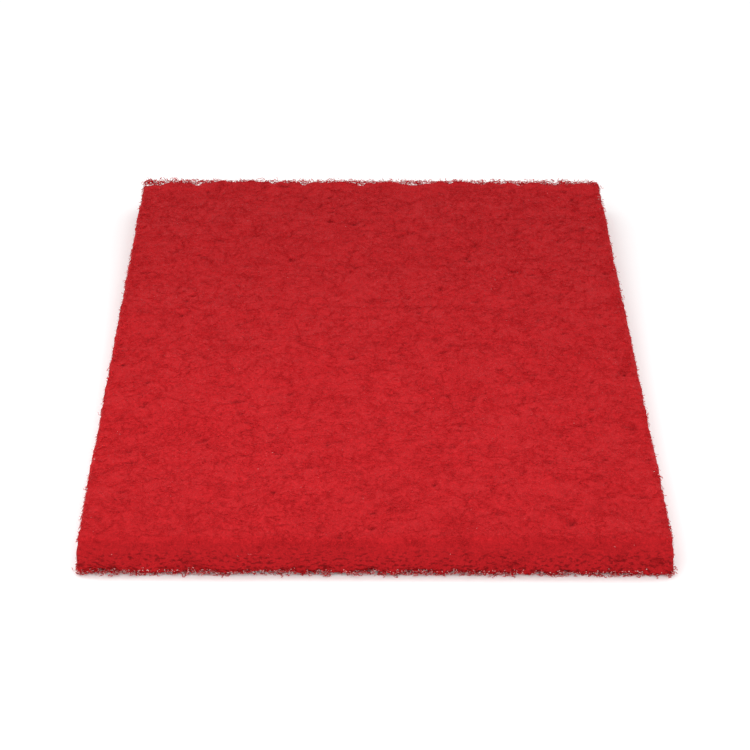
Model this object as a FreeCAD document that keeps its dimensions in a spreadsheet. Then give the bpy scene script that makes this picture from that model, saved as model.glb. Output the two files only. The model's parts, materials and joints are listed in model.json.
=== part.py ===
"""Rectangular non-woven floor pad for an orbital floor machine.

The pad is one lofty web of crimped synthetic fibres, bonded all through with resin and die-cut to a
rectangle. It has no backing, hub, hole or fastener, so the model is one body: a slab of the pad's
nominal size with its long edges and corners rounded as the cutting die leaves them.

Frame, in millimetres: the origin is the centre of the face that lies on the floor. +X runs along the
short side, +Y along the long side and +Z up through the thickness.
"""

import FreeCAD, Part
import math
import os

import Sketcher

DOCUMENT_NAME = "floor_pad"
SHEET_NAME = "dimensions"
OUTPUT_FOLDER = "parts"

# Driving dimensions: alias, value in millimetres, what it measures.
DIMENSIONS = [
    ("pad_width", 355.6, "short side of the pad, 14 in"),
    ("pad_length", 508.0, "long side of the pad, 20 in"),
    ("pad_thickness", 25.4, "uncompressed loft of the web, 1 in"),
    ("corner_radius", 5.0, "corner of the die-cut outline, seen from above"),
    ("upper_edge_radius", 4.5, "edge that the cutting die pulls down"),
    ("lower_edge_radius", 2.5, "edge that lay against the cutting board"),
]

# Which end of a sketch curve a constraint holds.
START, END, CENTRE = 1, 2, 3
# The sketch's own origin, as a constraint names it.
ORIGIN_GEOMETRY, ORIGIN_POINT = -1, 1
HEIGHT_TOLERANCE = 1e-6


def add_dimension_sheet(doc):
    """The spreadsheet that holds every driving dimension, one row each: name, value, meaning."""
    sheet = doc.addObject("Spreadsheet::Sheet", SHEET_NAME)
    for row, (alias, value, meaning) in enumerate(DIMENSIONS, start=1):
        sheet.set(f"A{row}", alias)
        sheet.set(f"B{row}", str(value))
        sheet.setAlias(f"B{row}", alias)
        sheet.set(f"C{row}", meaning)
    doc.recompute()
    return sheet


def origin_plane(body, role):
    """One of the body's own origin planes."""
    return next(f for f in body.Origin.OriginFeatures if f.Role == role)


def name_and_bind(sketch, constraint, name, alias):
    """Adds a dimensional constraint, names it and drives it from the sheet."""
    index = sketch.addConstraint(constraint)
    sketch.renameConstraint(index, name)
    sketch.setExpression(f"Constraints.{name}", f"{SHEET_NAME}.{alias}")


def add_outline_sketch(body, sheet):
    """The die-cut outline: a rectangle centred on the origin, with four equal corner arcs."""
    sketch = body.newObject("Sketcher::SketchObject", "pad_outline")
    sketch.AttachmentSupport = [(origin_plane(body, "XY_Plane"), "")]
    sketch.MapMode = "FlatFace"

    radius = sheet.corner_radius
    x = sheet.pad_width / 2
    y = sheet.pad_length / 2
    up = FreeCAD.Vector(0, 0, 1)
    quarter = math.pi / 2

    # Counter-clockwise from the front side: a straight side, then the corner arc at its end.
    sides = [
        ((-x + radius, -y), (x - radius, -y), (x - radius, -y + radius), -1),
        ((x, -y + radius), (x, y - radius), (x - radius, y - radius), 0),
        ((x - radius, y), (-x + radius, y), (-x + radius, y - radius), 1),
        ((-x, y - radius), (-x, -y + radius), (-x + radius, -y + radius), 2),
    ]
    lines = []
    arcs = []
    for start, end, centre, first_quarter in sides:
        segment = Part.LineSegment(FreeCAD.Vector(*start, 0), FreeCAD.Vector(*end, 0))
        lines.append(sketch.addGeometry(segment, False))
        circle = Part.Circle(FreeCAD.Vector(*centre, 0), up, radius)
        arc = Part.ArcOfCircle(circle, first_quarter * quarter, (first_quarter + 1) * quarter)
        arcs.append(sketch.addGeometry(arc, False))

    for i, (line, arc) in enumerate(zip(lines, arcs)):
        next_line = lines[(i + 1) % len(lines)]
        sketch.addConstraint(Sketcher.Constraint("Tangent", line, END, arc, START))
        sketch.addConstraint(Sketcher.Constraint("Tangent", arc, END, next_line, START))
        direction = "Horizontal" if i % 2 == 0 else "Vertical"
        sketch.addConstraint(Sketcher.Constraint(direction, line))
    for arc in arcs[1:]:
        sketch.addConstraint(Sketcher.Constraint("Equal", arcs[0], arc))
    sketch.addConstraint(
        Sketcher.Constraint("Symmetric", arcs[0], CENTRE, arcs[2], CENTRE, ORIGIN_GEOMETRY, ORIGIN_POINT)
    )

    front, right, back, left = lines
    name_and_bind(
        sketch,
        Sketcher.Constraint("DistanceX", left, START, right, START, sheet.pad_width),
        "width",
        "pad_width",
    )
    name_and_bind(
        sketch,
        Sketcher.Constraint("DistanceY", front, START, back, START, sheet.pad_length),
        "length",
        "pad_length",
    )
    name_and_bind(sketch, Sketcher.Constraint("Radius", arcs[0], radius), "corner", "corner_radius")
    return sketch


def edges_at_height(shape, height):
    """The names of the edges that lie flat at this height."""
    return [
        f"Edge{number}"
        for number, edge in enumerate(shape.Edges, start=1)
        if all(abs(vertex.Z - height) < HEIGHT_TOLERANCE for vertex in edge.Vertexes)
    ]


def round_rim(body, base, height, name, alias):
    """Rounds the whole rim of the slab at one height, by the radius that the alias names."""
    rim = body.newObject("PartDesign::Fillet", name)
    rim.Base = (base, edges_at_height(base.Shape, height))
    rim.setExpression("Radius", f"{SHEET_NAME}.{alias}")
    return rim


def build_floor_pad(doc, sheet):
    """The whole pad: its outline raised to the web's loft, then both rims rounded."""
    body = doc.addObject("PartDesign::Body", "floor_pad")
    body.Label = "floor_pad"

    outline = add_outline_sketch(body, sheet)
    slab = body.newObject("PartDesign::Pad", "web_loft")
    slab.Profile = outline
    slab.setExpression("Length", f"{SHEET_NAME}.pad_thickness")
    outline.Visibility = False
    doc.recompute()

    upper = round_rim(body, slab, sheet.pad_thickness, "upper_rim", "upper_edge_radius")
    doc.recompute()
    lower = round_rim(body, upper, 0.0, "lower_rim", "lower_edge_radius")
    body.Tip = lower
    doc.recompute()
    return body


def check_document(doc, bodies):
    """Stops if any object failed to build, or a sub-part isn't a sound solid."""
    for item in doc.Objects:
        if "Invalid" in item.State or "Error" in item.State:
            raise RuntimeError(f"{item.Name} failed to build: {item.State}")
    for body in bodies:
        if body.Shape.isNull() or not body.Shape.isValid() or not body.Shape.Solids:
            raise RuntimeError(f"{body.Label} is not a valid solid")


def export_parts(bodies):
    """Writes each sub-part to its own STEP file, named by its label."""
    os.makedirs(OUTPUT_FOLDER, exist_ok=True)
    for body in bodies:
        body.Shape.exportStep(os.path.join(OUTPUT_FOLDER, f"{body.Label}.step"))
        box = body.Shape.optimalBoundingBox()
        litres = body.Shape.Volume / 1e6
        print(f"{body.Label}: {box.XLength:.1f} x {box.YLength:.1f} x {box.ZLength:.1f} mm, {litres:.3f} l")


def main():
    doc = FreeCAD.newDocument(DOCUMENT_NAME)
    sheet = add_dimension_sheet(doc)
    bodies = [build_floor_pad(doc, sheet)]
    check_document(doc, bodies)
    export_parts(bodies)


main()
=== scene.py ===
"""Red non-woven floor pad: an open web of crimped fibres, bonded with resin and die-cut to a rectangle.

A real pad is fibre all through. Here a lumpy core stands for the inner web, which is too deep to see into.
Modelled fibres lie over and round it: level mats on the two faces, cut ends on the four sides, and loose
loops along the rims, where the light comes through.

Everything is in metres, in the frame of the CAD model.
"""

import json
import math
from collections import namedtuple

import bpy
import numpy as np
from mathutils import Matrix, Vector


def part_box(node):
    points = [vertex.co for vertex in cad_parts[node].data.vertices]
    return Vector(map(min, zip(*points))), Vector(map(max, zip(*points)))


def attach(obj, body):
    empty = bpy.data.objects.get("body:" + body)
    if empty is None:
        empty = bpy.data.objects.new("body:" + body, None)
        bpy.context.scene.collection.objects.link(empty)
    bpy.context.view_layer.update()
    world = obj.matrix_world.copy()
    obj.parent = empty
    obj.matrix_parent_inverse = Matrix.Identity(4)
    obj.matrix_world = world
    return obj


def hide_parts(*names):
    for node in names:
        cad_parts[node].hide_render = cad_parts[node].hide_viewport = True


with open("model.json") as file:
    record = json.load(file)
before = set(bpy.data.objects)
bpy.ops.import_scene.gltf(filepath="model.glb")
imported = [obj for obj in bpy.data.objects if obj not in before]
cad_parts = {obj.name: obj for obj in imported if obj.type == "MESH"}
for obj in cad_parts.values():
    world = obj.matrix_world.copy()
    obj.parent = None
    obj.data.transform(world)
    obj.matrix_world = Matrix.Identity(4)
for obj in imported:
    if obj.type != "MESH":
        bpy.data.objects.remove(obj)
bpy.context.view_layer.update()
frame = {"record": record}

MM = 0.001
# Shorter than any length here, so that a direction of no length isn't divided by zero.
TINY = 1e-12

# Where each set of random draws starts. The sides and the rims take one more for each after the first.
SEED = 1420
UPPER_FACE_SEED = SEED
LOWER_FACE_SEED = SEED + 1
SIDE_FACE_SEED = SEED + 2
FRONT_FRAY_SEED = SEED + 4
BACK_FRAY_SEED = SEED + 5
TOP_MAT_SEED = SEED + 10
BOTTOM_MAT_SEED = SEED + 11
SIDES_SEED = SEED + 20
RIMS_SEED = SEED + 30

PAD_LOW, PAD_HIGH = (np.array(corner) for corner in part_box("floor_pad"))
PAD_CENTRE = (PAD_LOW + PAD_HIGH) / 2
PAD_HALF = (PAD_HIGH - PAD_LOW) / 2
# How round the upper and lower rims are that the fibres follow.
PAD_RIM_UPPER = 4.5 * MM
PAD_RIM_LOWER = 1.5 * MM
WEB_COLOUR = frame["record"]["materials"][0]["base_color"]
# The colour of a cut fibre end, which is paler than the red along its length. On the mats and the rims it is
# partly a painted glint.
PALE_END_AND_GLINT = (0.88, 0.68, 0.66)

# The core: the size of its mesh cells, how far it stays inside the pad's faces, and how round its own
# rims are.
CORE_CELL = np.array([2.3, 2.3, 1.4]) * MM
CORE_INSET = np.array([0.4, 0.4, 0.5]) * MM
CORE_RIM_UPPER = 4.0 * MM
CORE_RIM_LOWER = 1.5 * MM

# The two frayed rims, the lower one in front and the upper one at the back, where the core draws back
# from the fibres: how far on average and how unevenly, how long the bumps are in cells, and how far along
# the face and up the side that reaches.
FRONT_FRAY = (2.6 * MM, 2.0 * MM)
BACK_FRAY = (5.5 * MM, 3.0 * MM)
FRAY_BUMP = (6.0, 1.0)
FRAY_REACH = 30 * MM
FRAY_HEIGHT = 5 * MM
# The back left corner is the most worn.
CORNER_FRAY = 7 * MM
CORNER_REACH = 30 * MM

# The back edge curls up a little.
CURL = 2.2 * MM
CURL_REACH = 30 * MM

# How much further out the web stands at the floor, all round.
SPREAD = 1.8 * MM

# Relief: bumps so many cells long and wide, and their height. The cut sides show the web's layers.
RELIEF_CELL = 1.0 * MM
FACE_BUMPS = [(70, 60, 0.55 * MM), (16, 14, 0.20 * MM), (4.5, 4.0, 0.10 * MM)]
SIDE_BUMPS = [(10, 4.0, 0.30 * MM), (4.0, 2.5, 0.22 * MM)]
FACE_PITS = (4.0, 3.5)
SIDE_PITS = (5.0, 2.5)
PIT_LEVEL = 1.25
PIT_DEPTH = 0.9 * MM

# Every fibre: a thin tube of so many sides, with a point at every step. It bends one way, by so many radians
# a metre, and crimps by so many radians from side to side over each crimp length.
FIBRE_RADIUS = (0.06 * MM, 0.12 * MM)
FIBRE_SIDES = 3
FIBRE_STEP = 0.95 * MM
BEND = 90.0
CRIMP_SWING = (0.8, 1.8)
CRIMP_LENGTH = (3.0 * MM, 6.0 * MM)
FLOOR_GAP = 0.3 * MM
# A rise and fall along it: how many times a step it turns, and how much of its swing each fibre has.
RIPPLE_TURNS = (0.05, 0.16)
RIPPLE_SHARE = (0.2, 1.0)
# How closely the fibres' tones gather round the middle one.
TONE_GATHERING = 2.2
# A way that no fibre runs, to turn its sides from.
LEANING_UP = (0.08, 0.05, 1.0)
# How far fibres hang past the outline at most.
OVERHANG_LIMIT = 2.5 * MM

# The mats on the two faces: the points in a fibre, how far outside the outline some start, to be cut by it,
# how deep they start, how much they ripple, how far below the face they lie, how far they overhang on
# average, and the share whose cut ends are pale, partly as painted glints.
FACE_POINTS = 31
CUT_OFF = np.array([14.0, 14.0, 0.0]) * MM
FACE_DEPTH = 0.35 * MM
FACE_RIPPLE = 0.3 * MM
FACE_SUNK = 0.2 * MM
FACE_OVERHANG = 0.5 * MM
FACE_PALE = 0.004

# The cut sides: the same, with how deep the cut fibres reach behind the side and below the upper face.
SIDE_POINTS = 22
SIDE_DEPTH = 3.5 * MM
SIDE_BELOW_TOP = 0.5 * MM
SIDE_RIPPLE = 0.9 * MM
SIDE_OVERHANG = 0.4 * MM
SIDE_PALE = 0.03

# Loose loops: the points in each, how sharply it bends, the band along a rim where it starts (how deep and
# how high), how far inside the faces it may lie, how unevenly it arches, and how many times thicker it is
# than the other fibres. None strays further than so many times its rim's average.
LOOP_POINTS = 10
LOOP_BEND = 190.0
LOOP_BAND = (5.0 * MM, 4.0 * MM)
LOOP_LIMIT = 5.5 * MM
LOOP_RISE = 1.2 * MM
LOOP_THICKER = 2.2
STRAY_LIMIT = 3.0

# Each side: the axis it faces along, and which way.
SIDES = {"front": (1, -1), "back": (1, 1), "left": (0, -1), "right": (0, 1)}

# Each rim: the axis it runs along, the side it is on, whether it is an upper rim, loops per metre, how far
# they stray outside and arch up, the share with pale ends, partly painted glints, and how much painted light
# is added to their tone, for the light that the loops catch and let through.
Rim = namedtuple("Rim", "along side upper per_metre stray lift pale brighter")
RIMS = {
    "front_lower": Rim(0, -1, False, 3800, 1.0 * MM, 0.2 * MM, 1.0, 0.2),
    "front_upper": Rim(0, -1, True, 200, 0.6 * MM, 0.3 * MM, 0.0, 0.6),
    "back_lower": Rim(0, 1, False, 1200, 0.7 * MM, 0.2 * MM, 0.2, 0.4),
    "back_upper": Rim(0, 1, True, 6500, 1.3 * MM, 1.8 * MM, 0.06, 0.7),
    "left_lower": Rim(1, -1, False, 1200, 0.8 * MM, 0.2 * MM, 0.1, 0.4),
    "left_upper": Rim(1, -1, True, 900, 0.6 * MM, 0.3 * MM, 0.02, 0.4),
    "right_lower": Rim(1, 1, False, 1200, 0.8 * MM, 0.2 * MM, 0.1, 0.4),
    "right_upper": Rim(1, 1, True, 900, 0.7 * MM, 0.3 * MM, 0.02, 0.4),
}

# How many fibres start on each face and along each metre of side, and how many patches each mat is kept in,
# across and along.
TOP_FIBRES = 9000
BOTTOM_FIBRES = 1700
SIDE_FIBRES_PER_METRE = 2600
TOP_PATCHES = (3, 4)
BOTTOM_PATCHES = (1, 2)

# The floor: its side, how pale its darkest and palest parts are, how fine its grain is, and its gloss.
FLOOR_SIZE = 40.0
FLOOR_DARKEST = 0.96
FLOOR_PALEST = 0.98
FLOOR_GRAIN = 3.0
FLOOR_ROUGHNESS = 0.9
FLOOR_SPECULAR = 0.1

# Light: the white surround's strength, and each soft box: where it hangs, where it points, how long and
# wide it is, and its power. All of it is white, and all of it lights everything.
SURROUND = 1.05
Lamp = namedtuple("Lamp", "place aim length width watts")
LAMPS = {
    "overhead": Lamp((-0.12, -0.15, 0.36), (-0.12, -0.15, 0.0), 0.80, 0.09, 0.78),
    "fill": Lamp((-0.15, -0.90, 0.60), (0.0, -0.25, 0.0), 0.60, 0.30, 1.4),
}

# Camera: its elevation, azimuth and roll in degrees, its aim along and across the floor from the pad's
# middle, its distance from there, its lens and sensor in millimetres, and how far it sees.
CAMERA_ANGLES = (29.4, 0.52, 0.39)
CAMERA_AIM = (1.3 * MM, -10.0 * MM)
CAMERA_DISTANCE = 1.6285
CAMERA_LENS = 113.4
CAMERA_SENSOR = 36.0
CAMERA_SIGHT = 100.0

# The name of the fibres' own map. The name that the export looks for before it unwraps a piece itself. A
# mat of tubes would unwrap into a sliver for every side of every segment, so the fibres bring a map of
# their own: a cell for each, with a margin round it.
UV_MAP = "OFBake"
UV_MARGIN = 0.1


# ---------------------------------------------------------------- shapes that the pieces share


def rolling_field(rng, cells, bump):
    """Random heights of unit spread over a grid that wraps round, with bumps about bump cells across."""
    waves = np.meshgrid(*(np.fft.fftfreq(count) for count in cells), indexing="ij")
    fineness = sum((wave * size) ** 2 for wave, size in zip(waves, bump))
    spectrum = np.fft.fft2(rng.standard_normal(cells)) * np.exp(-math.pi * fineness)
    heights = np.fft.ifft2(spectrum).real
    return heights / heights.std()


def read_grid(grid, u, v):
    """The grid's value at any place, in metres from its first cell, between its cells by distance."""
    i, j = u / RELIEF_CELL, v / RELIEF_CELL
    row, column = np.floor(i).astype(int), np.floor(j).astype(int)
    i, j = i - row, j - column
    rows, columns = grid.shape
    near = grid[row % rows, column % columns] * (1 - j) + grid[row % rows, (column + 1) % columns] * j
    row = row + 1
    far = grid[row % rows, column % columns] * (1 - j) + grid[row % rows, (column + 1) % columns] * j
    return near * (1 - i) + far * i


class Face:
    """The relief of one face: its height above the plain slab and how deep its pits are, anywhere on it."""

    def __init__(self, seed, bumps, pit_size):
        rng = np.random.default_rng(seed)
        cells = tuple(int(size / RELIEF_CELL) + 1 for size in 2 * PAD_HALF[:2])
        self.pits = np.maximum(rolling_field(rng, cells, pit_size) - PIT_LEVEL, 0)
        self.height = -PIT_DEPTH * self.pits
        for length, width, rise in bumps:
            self.height += rise * rolling_field(rng, cells, (length, width))

    def height_at(self, u, v):
        return read_grid(self.height, u, v)

    def pits_at(self, u, v):
        return read_grid(self.pits, u, v)


def curl_at(y):
    """How far the upper face rises at each place along the pad."""
    return CURL * np.clip(1 - (PAD_HIGH[1] - y) / CURL_REACH, 0, 1) ** 2


def fray_along(seed, mean, spread):
    """How far the core draws back from a frayed rim, at every cell along it."""
    rng = np.random.default_rng(seed)
    cells = (int(2 * PAD_HALF[0] / RELIEF_CELL) + 1, 1)
    return np.maximum(mean + spread * rolling_field(rng, cells, FRAY_BUMP), 0)


def spread(points):
    """The points as they settle on the floor, where the web spreads a little."""
    share_down = 1 - (points[..., 2:] - PAD_LOW[2]) / (PAD_HIGH[2] - PAD_LOW[2])
    wider = 1 + SPREAD * np.clip(share_down, 0, 1) / PAD_HALF
    wider[..., 2] = 1
    return PAD_CENTRE + (points - PAD_CENTRE) * wider


def draw_back(points, fray, rim_y, rim_z):
    """Moves the points near one long rim towards the pad's middle, most at the rim itself."""
    near = np.clip(1 - np.abs(points[:, 1] - rim_y) / FRAY_REACH, 0, 1) ** 2
    near *= np.clip(1 - np.abs(points[:, 2] - rim_z) / FRAY_HEIGHT, 0, 1)
    depth = read_grid(fray, points[:, 0] - PAD_LOW[0], np.zeros(len(points)))
    points[:, 1] += np.sign(PAD_CENTRE[1] - rim_y) * depth * near


def outside_by(points):
    """How far each point stands outside the pad's round-rimmed slab, negative inside it."""
    rim = np.where(points[..., 2] > PAD_CENTRE[2], PAD_RIM_UPPER, PAD_RIM_LOWER)
    reach = np.abs(points - PAD_CENTRE) - (PAD_HALF - rim[..., None])
    beyond = np.linalg.norm(np.maximum(reach, 0), axis=-1)
    return beyond + np.minimum(reach.max(axis=-1), 0) - rim


def unit(vectors):
    """The vectors at length 1."""
    return vectors / np.maximum(np.linalg.norm(vectors, axis=-1, keepdims=True), TINY)


def mesh_from_polygons(name, vertices, polygons):
    """A mesh from an array of vertices and a list of arrays of polygons, one array per polygon size."""
    corners = np.concatenate([group.ravel() for group in polygons])
    sizes = np.concatenate([np.full(len(group), group.shape[1]) for group in polygons])
    mesh = bpy.data.meshes.new(name)
    mesh.vertices.add(len(vertices))
    mesh.vertices.foreach_set("co", vertices.astype(np.float32).ravel())
    mesh.loops.add(len(corners))
    mesh.loops.foreach_set("vertex_index", corners.astype(np.int32))
    mesh.polygons.add(len(sizes))
    mesh.polygons.foreach_set("loop_start", (np.cumsum(sizes) - sizes).astype(np.int32))
    mesh.polygons.foreach_set("use_smooth", np.ones(len(sizes), bool))
    mesh.update(calc_edges=True)
    return mesh


def add_values(mesh, name, values):
    """Stores one number per vertex, for a material to read."""
    attribute = mesh.attributes.new(name, "FLOAT", "POINT")
    attribute.data.foreach_set("value", values.astype(np.float32))


def add_piece(name, mesh, material):
    """Puts the mesh in the scene as a piece of the pad, in the web's material slot."""
    piece = bpy.data.objects.new(name, mesh)
    bpy.context.scene.collection.objects.link(piece)
    mesh.materials.append(material)
    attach(piece, "root")
    return piece


# ---------------------------------------------------------------- core


def lattice_box(counts):
    """The surface of a box of counts cells: its points on a whole-number lattice, and its quads."""
    quads = []
    for axis in range(3):
        u, v = (axis + 1) % 3, (axis + 2) % 3
        first, second = (grid.ravel() for grid in np.meshgrid(range(counts[u]), range(counts[v])))
        outward = [(0, 0), (1, 0), (1, 1), (0, 1)]
        for level, square in ((counts[axis], outward), (0, outward[::-1])):
            quad = np.empty((len(first), 4, 3), int)
            quad[:, :, axis] = level
            for corner, (step_u, step_v) in enumerate(square):
                quad[:, corner, u] = first + step_u
                quad[:, corner, v] = second + step_v
            quads.append(quad)
    points, index = np.unique(np.concatenate(quads).reshape(-1, 3), axis=0, return_inverse=True)
    return points, index.reshape(-1, 4)


def build_core(upper, lower, side, material):
    """The inner web: a closed slab with soft round rims, whose faces roll, lump and pit."""
    low, high = PAD_LOW + CORE_INSET, PAD_HIGH - CORE_INSET
    counts = np.round((high - low) / CORE_CELL).astype(int)
    lattice, quads = lattice_box(counts)
    points = low + lattice / counts * (high - low)

    share_up = (points[:, 2:] - low[2]) / (high[2] - low[2])
    rim = CORE_RIM_LOWER + (CORE_RIM_UPPER - CORE_RIM_LOWER) * share_up
    inner = np.clip(points, low + rim, high - rim)
    normal = unit(points - inner)
    points = inner + normal * rim

    along, across = points[:, 0] - PAD_LOW[0], points[:, 1] - PAD_LOW[1]
    facing_up = np.maximum(normal[:, 2], 0) ** 2
    facing_down = np.maximum(-normal[:, 2], 0) ** 2
    facing_out = 1 - facing_up - facing_down
    rise = facing_up * upper.height_at(along, across)
    rise += facing_down * np.minimum(lower.height_at(along, across), 0)
    rise += facing_out * side.height_at(along + across, points[:, 2])
    # Painted shade: the sides are painted darker towards the floor, in the gaps between the cut layers.
    side_shade = facing_out * (1 - share_up[:, 0])
    # How deep the pits are, for the painted shade that the material puts in them; on the sides it grows
    # towards the floor.
    pits = facing_up * upper.pits_at(along, across) + side_shade * side.pits_at(along + across, points[:, 2])

    points = points + normal * rise[:, None]
    points[:, 2] += curl_at(points[:, 1]) * share_up[:, 0]
    draw_back(points, fray_along(FRONT_FRAY_SEED, *FRONT_FRAY), PAD_LOW[1], PAD_LOW[2])
    back_fray = fray_along(BACK_FRAY_SEED, *BACK_FRAY)
    back_fray += CORNER_FRAY * np.exp(-np.arange(len(back_fray))[:, None] * RELIEF_CELL / CORNER_REACH)
    draw_back(points, back_fray, PAD_HIGH[1], PAD_HIGH[2])
    mesh = mesh_from_polygons("web_core", spread(points), [quads])
    add_values(mesh, "pit", pits)
    add_values(mesh, "cut", side_shade)
    core = add_piece("web_core", mesh, material)
    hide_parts("floor_pad")


# ---------------------------------------------------------------- fibres


def wander(rng, starts, headings, steps, bend=BEND):
    """Level paths from the starts: each bends one way and crimps from side to side as it goes."""
    along = FIBRE_STEP * np.arange(steps)
    one_each = (len(starts), 1)
    phase = rng.uniform(0, 2 * math.pi, one_each)
    crimps = np.sin(2 * math.pi * along / rng.uniform(*CRIMP_LENGTH, one_each) + phase)
    heading = headings[:, None] + rng.normal(0, bend, one_each) * along
    heading = heading + rng.uniform(*CRIMP_SWING, one_each) * crimps
    moves = FIBRE_STEP * np.stack([np.cos(heading), np.sin(heading), np.zeros_like(heading)], axis=-1)
    return starts[:, None] + np.cumsum(moves, axis=1)


def ripple(rng, shape, swing):
    """A gentle rise and fall along each path, of up to swing."""
    one_each = (shape[0], 1)
    turns = 2 * math.pi * rng.uniform(*RIPPLE_TURNS, one_each) * np.arange(shape[1])
    share = rng.uniform(*RIPPLE_SHARE, one_each)
    phase = rng.uniform(0, 2 * math.pi, one_each)
    return share * swing * np.sin(turns + phase)


def lay_out_fibres(mesh, used):
    """A UV map in which each fibre has a cell of its own, its length across and its girth up."""
    count, steps = used.shape
    columns = math.ceil(math.sqrt(count))
    fibre, place = np.nonzero(used)
    inner = 1 - 2 * UV_MARGIN
    u = (fibre % columns + UV_MARGIN + inner * place / (steps - 1)) / columns
    v = (fibre // columns)[:, None] + UV_MARGIN + inner * np.arange(FIBRE_SIDES) / (FIBRE_SIDES - 1)
    corners = np.stack([np.repeat(u, FIBRE_SIDES), (v / columns).ravel()], axis=1)
    vertex = np.empty(len(mesh.loops), np.int32)
    mesh.loops.foreach_get("vertex_index", vertex)
    mesh.uv_layers.new(name=UV_MAP).uv.foreach_set("vector", corners[vertex].astype(np.float32).ravel())


def tubes(name, paths, kept, traits, material):
    """Closed tubes along every unbroken run of kept points, as one piece."""
    radii, tones, pale = traits
    tangents = unit(np.gradient(paths, axis=1))
    across = unit(np.cross(tangents, LEANING_UP))
    upward = np.cross(across, tangents)
    turns = 2 * math.pi * np.arange(FIBRE_SIDES) / FIBRE_SIDES
    spokes = np.cos(turns)[:, None] * across[:, :, None] + np.sin(turns)[:, None] * upward[:, :, None]
    rings = paths[:, :, None] + radii[:, None, None, None] * spokes

    joined = kept[:, :-1] & kept[:, 1:]
    used = np.pad(joined, ((0, 0), (0, 1))) | np.pad(joined, ((0, 0), (1, 0)))
    first_corner = (np.cumsum(used).reshape(used.shape) - 1) * FIBRE_SIDES
    fibre, place = np.nonzero(joined)
    here, there = first_corner[fibre, place], first_corner[fibre, place + 1]
    opens = used & ~np.pad(joined, ((0, 0), (1, 0)))
    closes = used & ~np.pad(joined, ((0, 0), (0, 1)))

    sides = range(FIBRE_SIDES)
    walls = [np.stack([here + k, there + k, there + (k + 1) % FIBRE_SIDES, here + (k + 1) % FIBRE_SIDES], 1)
             for k in sides]
    start_caps = first_corner[opens][:, None] + np.array(sides)
    end_caps = first_corner[closes][:, None] + np.array(sides)[::-1]
    mesh = mesh_from_polygons(name, spread(rings[used].reshape(-1, 3)), [*walls, start_caps, end_caps])

    add_values(mesh, "tone", np.repeat(np.broadcast_to(tones[:, None], used.shape)[used], FIBRE_SIDES))
    add_values(mesh, "tip", np.repeat(((opens | closes) & pale[:, None])[used], FIBRE_SIDES))
    lay_out_fibres(mesh, used)
    add_piece(name, mesh, material)


def drop_to_rim(points, rim):
    """How far a face has rounded away from its plane at each point, towards the outline."""
    inset = (PAD_HALF - np.abs(points - PAD_CENTRE))[..., :2].min(axis=-1)
    short = np.clip(rim - inset, 0, rim)
    return rim - np.sqrt(rim**2 - short**2)


def random_traits(rng, count, pale_share, thicker=1.0, brighter=0.0):
    """Each fibre's radius, its tone from about 0, dark, to 1, bright, with any painted light added on top,
    and whether its cut ends are pale.
    """
    radii = thicker * rng.uniform(*FIBRE_RADIUS, count)
    tones = brighter + rng.beta(TONE_GATHERING, TONE_GATHERING, count)
    return radii, tones, rng.random(count) < pale_share


def build_face_fibres(seed, name, face, count, patches, material, lower=False):
    """A mat of level fibres that follows one face's relief, in patches by where the fibres start."""
    rng = np.random.default_rng(seed)
    low, high = PAD_LOW - CUT_OFF, PAD_HIGH + CUT_OFF
    starts = low + rng.random((count, 3)) * (high - low)
    paths = wander(rng, starts, rng.uniform(0, 2 * math.pi, count), FACE_POINTS)
    depth = rng.uniform(0, FACE_DEPTH, (count, 1)) + ripple(rng, paths.shape[:2], FACE_RIPPLE)
    relief = face.height_at(paths[..., 0] - PAD_LOW[0], paths[..., 1] - PAD_LOW[1])
    sunk = depth + drop_to_rim(paths, PAD_RIM_LOWER if lower else PAD_RIM_UPPER)
    if lower:
        paths[..., 2] = PAD_LOW[2] + FLOOR_GAP + np.maximum(sunk - np.minimum(relief, 0), 0)
    else:
        paths[..., 2] = PAD_HIGH[2] - FACE_SUNK - sunk + relief + curl_at(paths[..., 1])
    overhang = np.minimum(rng.exponential(FACE_OVERHANG, (count, 1)), OVERHANG_LIMIT)
    inset = (PAD_HALF - np.abs(paths - PAD_CENTRE))[..., :2].min(axis=-1)
    kept = inset > -overhang

    traits = random_traits(rng, count, FACE_PALE)
    share = (starts - low) / (high - low)
    column = (share[:, 0] * patches[0]).astype(int)
    row = (share[:, 1] * patches[1]).astype(int)
    for patch in range(patches[0] * patches[1]):
        mine = column + patches[0] * row == patch
        tubes(f"{name}_{patch + 1}", paths[mine], kept[mine], [trait[mine] for trait in traits], material)


def build_side_fibres(seed, name, axis, direction, material):
    """The cut web of one side: level fibres through the whole thickness, cut at the outline."""
    rng = np.random.default_rng(seed)
    other = 1 - axis
    length = 2 * PAD_HALF[other]
    count = int(SIDE_FIBRES_PER_METRE * length)
    starts = np.empty((count, 3))
    starts[:, other] = rng.uniform(PAD_LOW[other], PAD_HIGH[other], count)
    starts[:, axis] = PAD_CENTRE[axis] + direction * (PAD_HALF[axis] - rng.uniform(0, SIDE_DEPTH, count))
    starts[:, 2] = rng.uniform(PAD_LOW[2] + FLOOR_GAP, PAD_HIGH[2] - SIDE_BELOW_TOP, count)
    paths = wander(rng, starts, rng.uniform(0, 2 * math.pi, count), SIDE_POINTS)
    paths[..., 2] += ripple(rng, paths.shape[:2], SIDE_RIPPLE)
    overhang = np.minimum(rng.exponential(SIDE_OVERHANG, (count, 1)), OVERHANG_LIMIT)
    outside = outside_by(paths)
    kept = (outside < overhang) & (outside > -SIDE_DEPTH) & (paths[..., 2] > PAD_LOW[2] + FLOOR_GAP)
    tubes(name, paths, kept, random_traits(rng, count, SIDE_PALE), material)


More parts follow.
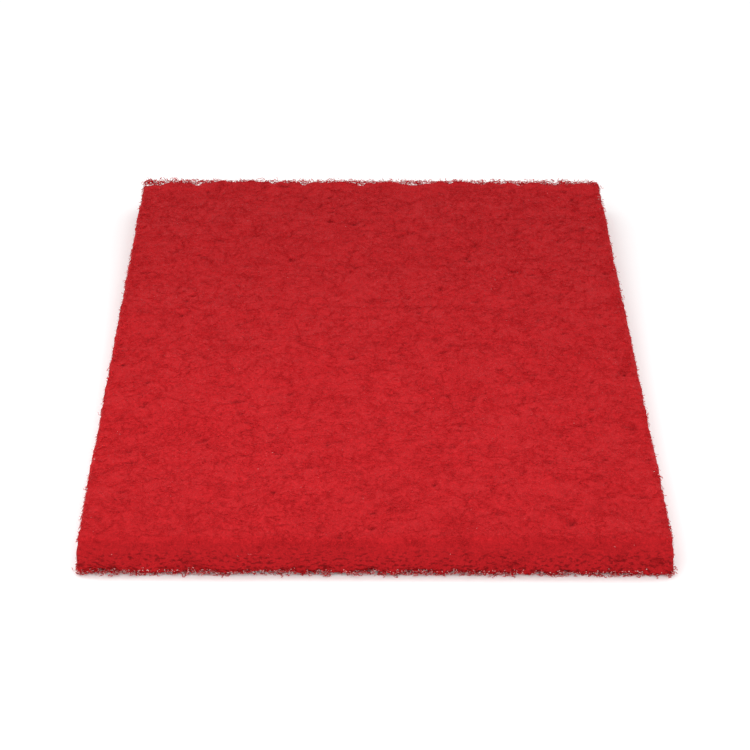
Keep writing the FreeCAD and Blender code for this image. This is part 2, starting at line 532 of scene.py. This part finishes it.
def build_rim_loops(seed, name, rim, material):
    """Loose loops and ends along one rim."""
    rng = np.random.default_rng(seed)
    along, across = rim.along, 1 - rim.along
    count = int(rim.per_metre * 2 * PAD_HALF[along])
    starts = np.empty((count, 3))
    starts[:, along] = rng.uniform(PAD_LOW[along], PAD_HIGH[along], count)
    inset = rng.uniform(0, LOOP_BAND[0], count)
    starts[:, across] = PAD_CENTRE[across] + rim.side * (PAD_HALF[across] - inset)
    depth = rng.uniform(FLOOR_GAP, LOOP_BAND[1], count)
    starts[:, 2] = PAD_HIGH[2] - depth if rim.upper else PAD_LOW[2] + depth

    paths = wander(rng, starts, rng.uniform(0, 2 * math.pi, count), LOOP_POINTS, bend=LOOP_BEND)
    rises = rng.normal(0, LOOP_RISE, count) + np.abs(rng.normal(0, rim.lift, count))
    paths[..., 2] += rises[:, None] * np.sin(np.linspace(0, math.pi, LOOP_POINTS))
    if rim.upper:
        paths[..., 2] += curl_at(paths[..., 1])
    paths[..., 2] = np.maximum(paths[..., 2], PAD_LOW[2] + FLOOR_GAP)
    outside = outside_by(paths)
    overhang = rim.stray * np.minimum(rng.exponential(1.0, (count, 1)), STRAY_LIMIT)
    kept = (outside < overhang) & (outside > -LOOP_LIMIT)
    traits = random_traits(rng, count, rim.pale, LOOP_THICKER, rim.brighter)
    tubes(name, paths, kept, traits, material)


# ---------------------------------------------------------------- materials


def shade(times, whiten=0.0):
    """The web's own red, made darker or lighter, and a little paler."""
    return tuple(min(channel * times + whiten, 1.0) for channel in WEB_COLOUR[:3])


# The core's lightness: where it starts, and what strands, patches, pits and the gaps between cut layers
# add or take. The dark between the strands, in the pits and in the gaps is painted shade. Fine strands
# stand out less than coarse ones, and the gaps lie level, along the layers.
CORE_LIGHTNESS = 0.12
WEB_LIGHTER = 0.45
PATCHES_LIGHTER = 0.35
PIT_PAINTED_SHADE = 0.3
GAPS_PAINTED_SHADE = 1.0
FINE_STRANDS = 0.8
LAYER_STRETCH = (0.5, 0.5, 1.0)
# How fine the strands, patches and gaps are, in cells a metre, and how wide and how bent the strands are.
COARSE_STRANDS = {"scale": 520.0, "width": 0.10, "distortion": 1.2}
FINER_STRANDS = {"scale": 1100.0, "width": 0.13, "distortion": 1.8}
STRAND_DETAIL = 1.5
PATCH_SCALE = 45.0
GAP_SCALE = 620.0
ROUGH_DETAIL = 3.0
# A gap starts to open at the first of these noise levels and is fully open at the second.
GAP_LEVELS = (0.5, 0.36)
# The web's roughness between the strands and on them, its gloss, and its bumps.
CORE_ROUGHNESS = (0.8, 0.55)
CORE_SPECULAR = 0.05
BUMP_STRENGTH = 0.6
BUMP_HEIGHT = 0.5 * MM
# The core's shades run darker than the fibres': painted shade of the web's depth.
CORE_SHADES = [(0.0, shade(0.46)), (0.45, shade(0.90)), (1.0, shade(1.08))]

# A fibre's lightness is part its own tone and part speckle.
TONE_SHARE = 0.35
SPECKLE_SHARE = 0.65
SPECKLE_SCALE = 900.0
SPECKLE_DETAIL = 2.0
FIBRE_ROUGHNESS = 0.5
FIBRE_SPECULAR = 0.06
FIBRE_SHADES = [(0.2, shade(0.88)), (0.5, shade(1.05)), (0.9, shade(1.35, 0.003))]


def add_node(tree, kind, inputs=None, **settings):
    """Adds a node, with its settings, and gives each named input a value or another node's output."""
    node = tree.nodes.new(kind)
    for name, value in settings.items():
        setattr(node, name, value)
    for socket, value in (inputs or {}).items():
        if isinstance(value, bpy.types.NodeSocket):
            tree.links.new(value, node.inputs[socket])
        else:
            node.inputs[socket].default_value = value
    return node


def new_material(name):
    """An empty material, and its tree."""
    material = bpy.data.materials.new(name)
    material.use_nodes = True
    material.node_tree.nodes.clear()
    return material, material.node_tree


def maths(tree, operation, first, second=0.0, clamp=False):
    """The output of one Math node."""
    node = add_node(tree, "ShaderNodeMath", {0: first, 1: second}, operation=operation, use_clamp=clamp)
    return node.outputs[0]


def strands(tree, place, scale, width, distortion):
    """1 along thin curly lines, falling to 0 between them: the level lines of a noise."""
    noise = add_node(tree, "ShaderNodeTexNoise",
                     {"Vector": place, "Scale": scale, "Detail": STRAND_DETAIL, "Distortion": distortion})
    off_line = maths(tree, "ABSOLUTE", maths(tree, "SUBTRACT", noise.outputs["Fac"], 0.5))
    return maths(tree, "SUBTRACT", 1.0, maths(tree, "DIVIDE", off_line, width), clamp=True)


def ramp(tree, fac, stops):
    """A colour ramp through (place, colour) stops."""
    node = add_node(tree, "ShaderNodeValToRGB", {"Fac": fac})
    elements = node.color_ramp.elements
    while len(elements) < len(stops):
        elements.new(0.5)
    for element, (place, colour) in zip(elements, stops):
        element.position = place
        element.color = (*colour, 1.0)
    return node.outputs["Color"]


def weigh(tree, base, parts):
    """The base plus each part times its weight, kept between 0 and 1."""
    total = base
    for part, weight in parts:
        total = maths(tree, "ADD", maths(tree, "MULTIPLY", part, weight), total)
    total.node.use_clamp = True
    return total


def attribute(tree, name):
    """A number stored on the mesh's vertices."""
    return add_node(tree, "ShaderNodeAttribute", attribute_name=name).outputs["Fac"]


def finish_material(tree, inputs):
    """Ends a material in one shader with these inputs."""
    shader = add_node(tree, "ShaderNodeBsdfPrincipled", inputs)
    add_node(tree, "ShaderNodeOutputMaterial", {"Surface": shader.outputs["BSDF"]})


def make_core_material():
    """The inner web: strands of red over painted shade between them, with the painted shade darkest in the
    pits and between the cut layers, which are painted darker towards the floor.
    """
    material, tree = new_material("inner_web")
    place = add_node(tree, "ShaderNodeTexCoord").outputs["Object"]
    coarse = strands(tree, place, **COARSE_STRANDS)
    fine = strands(tree, place, **FINER_STRANDS)
    web = maths(tree, "MAXIMUM", coarse, maths(tree, "MULTIPLY", fine, FINE_STRANDS))
    patches = add_node(tree, "ShaderNodeTexNoise",
                       {"Vector": place, "Scale": PATCH_SCALE, "Detail": ROUGH_DETAIL})
    layers = add_node(tree, "ShaderNodeMapping", {"Vector": place, "Scale": LAYER_STRETCH})
    openings = add_node(tree, "ShaderNodeTexNoise",
                        {"Vector": layers.outputs["Vector"], "Scale": GAP_SCALE, "Detail": ROUGH_DETAIL})
    gaps = add_node(tree, "ShaderNodeMapRange",
                    {"Value": openings.outputs["Fac"], "From Min": GAP_LEVELS[0], "From Max": GAP_LEVELS[1]})
    # Painted shade in the gaps between the cut layers, growing towards the floor.
    shaded_gaps = maths(tree, "MULTIPLY", gaps.outputs["Result"], attribute(tree, "cut"))
    lightness = weigh(tree, CORE_LIGHTNESS, [
        (web, WEB_LIGHTER),
        (patches.outputs["Fac"], PATCHES_LIGHTER),
        # Painted shade in the pits.
        (attribute(tree, "pit"), -PIT_PAINTED_SHADE),
        (shaded_gaps, -GAPS_PAINTED_SHADE),
    ])
    roughness = add_node(tree, "ShaderNodeMapRange",
                         {"Value": web, "To Min": CORE_ROUGHNESS[0], "To Max": CORE_ROUGHNESS[1]})
    bump = add_node(tree, "ShaderNodeBump",
                    {"Height": web, "Strength": BUMP_STRENGTH, "Distance": BUMP_HEIGHT})
    finish_material(tree, {
        "Base Color": ramp(tree, lightness, CORE_SHADES),
        "Roughness": roughness.outputs["Result"],
        "Specular IOR Level": CORE_SPECULAR,
        "Normal": bump.outputs["Normal"],
    })
    return material


def make_fibre_material():
    """A resin-coated fibre: each has a tone of its own, raised along the rims by painted light, and is
    speckled along its length. Its pale cut ends are partly painted glints.
    """
    material, tree = new_material("red_fibre")
    place = add_node(tree, "ShaderNodeTexCoord").outputs["Object"]
    speckle = add_node(tree, "ShaderNodeTexNoise",
                       {"Vector": place, "Scale": SPECKLE_SCALE, "Detail": SPECKLE_DETAIL})
    lightness = weigh(tree, 0.0, [
        (attribute(tree, "tone"), TONE_SHARE),
        (speckle.outputs["Fac"], SPECKLE_SHARE),
    ])
    # Pale cut ends, partly painted glints.
    colour = add_node(tree, "ShaderNodeMix", {"Factor": attribute(tree, "tip")}, data_type="RGBA")
    tree.links.new(ramp(tree, lightness, FIBRE_SHADES), colour.inputs["A"])
    colour.inputs["B"].default_value = (*PALE_END_AND_GLINT, 1.0)
    finish_material(tree, {
        "Base Color": colour.outputs["Result"],
        "Roughness": FIBRE_ROUGHNESS,
        "Specular IOR Level": FIBRE_SPECULAR,
    })
    return material


# ---------------------------------------------------------------- studio


def add_lamp(name, lamp):
    """A soft box that shines at its aim and isn't seen itself."""
    light = bpy.data.lights.new(name, "AREA")
    light.shape = "RECTANGLE"
    light.size, light.size_y = lamp.length, lamp.width
    light.energy = lamp.watts
    body = bpy.data.objects.new(name, light)
    body.location = lamp.place
    body.rotation_euler = (Vector(lamp.aim) - body.location).to_track_quat("-Z", "Y").to_euler()
    body.visible_camera = False
    bpy.context.scene.collection.objects.link(body)


def build_studio():
    """A pale floor, a white surround and soft lights."""
    scene = bpy.context.scene
    scene.view_settings.view_transform = "Standard"
    # The fibres are about as fine as a pixel, and the denoiser would blur them with its guides prefiltered.
    scene.cycles.denoising_prefilter = "NONE"
    material, tree = new_material("studio_floor")
    grain = add_node(tree, "ShaderNodeTexNoise", {"Scale": FLOOR_GRAIN})
    colour = ramp(tree, grain.outputs["Fac"], [(0.0, (FLOOR_DARKEST,) * 3), (1.0, (FLOOR_PALEST,) * 3)])
    finish_material(tree, {
        "Base Color": colour,
        "Roughness": FLOOR_ROUGHNESS,
        "Specular IOR Level": FLOOR_SPECULAR,
    })
    bpy.ops.mesh.primitive_plane_add(size=FLOOR_SIZE, location=(0, 0, PAD_LOW[2]))
    floor = bpy.context.object
    floor.name = "studio_floor"
    floor.data.materials.append(material)

    world = bpy.data.worlds.new("studio")
    scene.world = world
    world.use_nodes = True
    world.node_tree.nodes["Background"].inputs["Color"].default_value = (1, 1, 1, 1)
    world.node_tree.nodes["Background"].inputs["Strength"].default_value = SURROUND

    for name, lamp in LAMPS.items():
        add_lamp(name, lamp)


def build_camera():
    """A long lens, looking down along the pad's length from in front."""
    elevation, azimuth, roll = (math.radians(angle) for angle in CAMERA_ANGLES)
    aim = Vector((PAD_CENTRE[0] + CAMERA_AIM[0], PAD_CENTRE[1] + CAMERA_AIM[1], PAD_LOW[2]))
    level = math.cos(elevation)
    back = Vector((-math.sin(azimuth) * level, -math.cos(azimuth) * level, math.sin(elevation)))
    data = bpy.data.cameras.new("camera")
    data.lens = CAMERA_LENS
    data.sensor_width = CAMERA_SENSOR
    data.clip_end = CAMERA_SIGHT
    camera = bpy.data.objects.new("camera", data)
    camera.location = aim + back * CAMERA_DISTANCE
    turn = (-back).to_track_quat("-Z", "Y").to_matrix() @ Matrix.Rotation(roll, 3, "Z")
    camera.rotation_euler = turn.to_euler()
    bpy.context.scene.collection.objects.link(camera)
    bpy.context.scene.camera = camera


core_material = make_core_material()
fibre_material = make_fibre_material()
upper_face = Face(UPPER_FACE_SEED, FACE_BUMPS, FACE_PITS)
lower_face = Face(LOWER_FACE_SEED, FACE_BUMPS, FACE_PITS)
side_face = Face(SIDE_FACE_SEED, SIDE_BUMPS, SIDE_PITS)
build_core(upper_face, lower_face, side_face, core_material)
build_face_fibres(TOP_MAT_SEED, "top_fibres", upper_face, TOP_FIBRES, TOP_PATCHES, fibre_material)
build_face_fibres(BOTTOM_MAT_SEED, "bottom_fibres", lower_face, BOTTOM_FIBRES, BOTTOM_PATCHES, fibre_material,
                  lower=True)
for index, (side, (axis, direction)) in enumerate(SIDES.items()):
    build_side_fibres(SIDES_SEED + index, f"{side}_fibres", axis, direction, fibre_material)
for index, (name, rim) in enumerate(RIMS.items()):
    build_rim_loops(RIMS_SEED + index, f"{name}_loops", rim, fibre_material)
build_studio()
build_camera()
